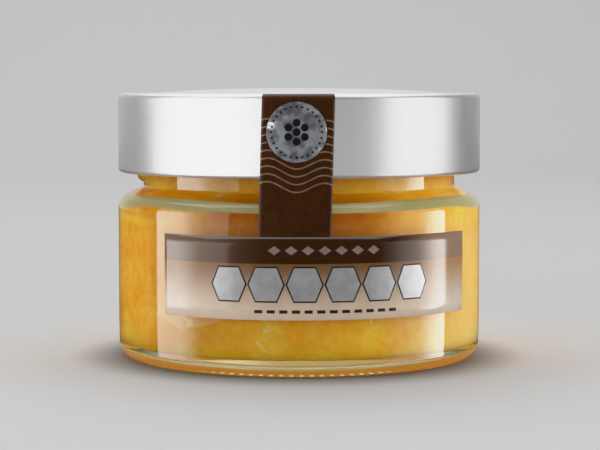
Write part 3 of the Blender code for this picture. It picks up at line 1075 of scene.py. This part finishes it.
def area_light(name, azimuths, elevations, distance, radiance, fade=None):
    """A flat lamp that spans two azimuths and two elevations as the jar sees them.

    Azimuths are in degrees from the front towards +X, the first one the edge that stays
    bright. With a fade, the light dims smoothly from that share of its width to the other edge.
    """
    middle = math.radians(sum(azimuths) / 2)
    rise = math.radians(sum(elevations) / 2)
    lamp = bpy.data.lights.new(name, "AREA")
    lamp.shape = "RECTANGLE"
    lamp.size = 2 * distance * math.tan(math.radians(abs(azimuths[1] - azimuths[0])) / 2)
    lamp.size_y = 2 * distance * math.tan(math.radians(elevations[1] - elevations[0]) / 2)
    lamp.energy = radiance * math.pi * lamp.size * lamp.size_y
    if fade is not None:
        lamp.use_nodes = True
        tree = lamp.node_tree
        emission = tree.nodes["Emission"]
        across = node(tree, "ShaderNodeNewGeometry")
        parts = node(tree, "ShaderNodeSeparateXYZ")
        tree.links.new(across.outputs["Parametric"], parts.inputs[0])
        inward = parts.outputs[0]
        if azimuths[0] > azimuths[1]:
            inward = math_node(tree, "SUBTRACT", 1.0, inward)
        tree.links.new(map_range(tree, inward, fade, 1.0, 1.0, 0.0), emission.inputs["Strength"])
    place = bpy.data.objects.new(name, lamp)
    aim = on_jar(middle, math.cos(rise), math.sin(rise))
    place.location = aim * distance + Vector((0.0, 0.0, EYE_HEIGHT))
    place.rotation_euler = (-aim).to_track_quat("-Z", "Y").to_euler()
    bpy.context.scene.collection.objects.link(place)
    return place


def light_only(lamp, pieces):
    """The lamp lights these pieces and nothing else."""
    receivers = bpy.data.collections.new(lamp.name + "_receivers")
    for name in pieces:
        receivers.objects.link(bpy.data.objects[name])
    lamp.light_linking.receiver_collection = receivers


def light_not(lamp, pieces):
    """The lamp lights everything but these pieces."""
    light_only(lamp, pieces)
    for link in lamp.light_linking.receiver_collection.collection_objects:
        link.light_linking.link_state = "EXCLUDE"


def overhead_light():
    lamp = bpy.data.lights.new("overhead", "AREA")
    lamp.shape = "SQUARE"
    lamp.size = OVERHEAD_SIZE
    lamp.energy = OVERHEAD_RADIANCE * math.pi * lamp.size**2
    place = bpy.data.objects.new("overhead", lamp)
    place.location = OVERHEAD_PLACE
    bpy.context.scene.collection.objects.link(place)


def stage_piece(name, bm, material):
    bmesh.ops.recalc_face_normals(bm, faces=bm.faces)
    mesh = bpy.data.meshes.new(name)
    bm.to_mesh(mesh)
    bm.free()
    mesh.shade_smooth()
    mesh.materials.append(material)
    ground = bpy.data.objects.new(name, mesh)
    bpy.context.scene.collection.objects.link(ground)
    return ground


def pale_sweep():
    """Matt pale grey, darker where the foot shades it and a little darker far behind."""
    material, tree, shader = new_material("pale_sweep")
    place = use_group(tree, PLACE)
    near = map_range(tree, place.outputs["Distance"], *FOOT_SHADE_RADII, FOOT_SHADE, 1.0)
    behind = map_range(tree, place.outputs["Depth"], *FLOOR_TURN, *FLOOR_GREYS)
    far = map_range(tree, place.outputs["Depth"], *FAR_TURN, 1.0, FAR_SHARE)
    tree.links.new(product(tree, behind, far, near), shader.inputs["Base Color"])
    set_sockets(shader, Roughness=0.9, Specular_IOR_Level=0.1)
    return material


def make_stage():
    """A floor with a small round of itself on top, close round the jar, and a backdrop.

    Only the small round and the backdrop are seen in reflections, as in a studio whose table
    ends close to the jar, so the glass mirrors the lamps and not the floor.
    """
    material = pale_sweep()
    near = bmesh.new()
    bmesh.ops.create_circle(near, cap_ends=True, segments=96, radius=NEAR_FLOOR_RADIUS)
    stage_piece("near_floor", near, material)
    floor = [(FLOOR_FRONT, 0.0), (BACKDROP_START, 0.0)]
    curve = [(BACKDROP_START, 0.0)]
    for step in range(1, BACKDROP_BEND_STEPS + 1):
        angle = math.radians(90 * step / BACKDROP_BEND_STEPS)
        back = BACKDROP_START + BACKDROP_BEND * math.sin(angle)
        curve.append((back, BACKDROP_BEND - BACKDROP_BEND * math.cos(angle)))
    curve.append((BACKDROP_START + BACKDROP_BEND, BACKDROP_TOP))
    for name, profile in (("wide_floor", floor), ("backdrop", curve)):
        sweep = bmesh.new()
        verts = [sweep.verts.new((-SWEEP_HALF_WIDTH, y, z - SWEEP_DROP)) for y, z in profile]
        edges = [sweep.edges.new(pair) for pair in zip(verts, verts[1:])]
        extruded = bmesh.ops.extrude_edge_only(sweep, edges=edges)
        moved = [item for item in extruded["geom"] if isinstance(item, bmesh.types.BMVert)]
        bmesh.ops.translate(sweep, verts=moved, vec=(2 * SWEEP_HALF_WIDTH, 0.0, 0.0))
        ground = stage_piece(name, sweep, material)
        ground.visible_glossy = name == "backdrop"


def make_world():
    world = bpy.data.worlds.new("studio")
    world.use_nodes = True
    background = world.node_tree.nodes["Background"]
    background.inputs["Color"].default_value = (*WHITE, 1.0)
    background.inputs["Strength"].default_value = WORLD_STRENGTH
    bpy.context.scene.world = world


def soften_highlights():
    """A film-like shoulder: unchanged up to mid grey, then highlights ease towards white."""
    view = bpy.context.scene.view_settings
    view.view_transform = "Standard"
    view.use_curve_mapping = True
    mapping = view.curve_mapping
    mapping.white_level = (HIGHLIGHT_WHITE,) * 3
    curve = mapping.curves[3]
    curve.points[0].location = (0.0, 0.0)
    curve.points[1].location = (1.0, HIGHLIGHT_TOP)
    for across, up in HIGHLIGHT_CURVE:
        curve.points.new(across, up)
    mapping.update()


def make_camera():
    camera = bpy.data.cameras.new("camera")
    camera.lens = CAMERA_LENS
    camera.sensor_width = 36.0
    camera.clip_start = 0.01
    place = bpy.data.objects.new("camera", camera)
    place.location = CAMERA_PLACE
    aim = Vector(CAMERA_AIM) - place.location
    place.rotation_euler = aim.to_track_quat("-Z", "Y").to_euler()
    bpy.context.scene.collection.objects.link(place)
    bpy.context.scene.camera = place


make_camera()
make_jar(clear_glass())
make_lid(satin_silver())
make_roe(amber_roe())
make_label(label_print())
make_strip(strip_print())
make_blocks(
    plain_print("block_silver", BLOCK_SILVER, 0.3, 0.4),
    plain_print("dark_ink", BLOCK_INK, 0.4),
)
make_rows(plain_print("pale_ink", LOZENGE_INK, 0.3), plain_print("brown_ink", DASH_INK, 0.4))
make_sticker(foil())
make_sticker_print_and_shadow(plain_print("blue_black_ink_and_shadow", STICKER_INK, 0.4))
make_stage()
make_world()
for row in GLASS_LAMPS:
    light_not(area_light(*row), ["screw_lid"])
for row in LID_LAMPS:
    light_only(area_light(*row), ["screw_lid"])
for row in ROE_LAMPS:
    light_only(area_light(*row), ["roe_core"])
overhead_light()
soften_highlights()
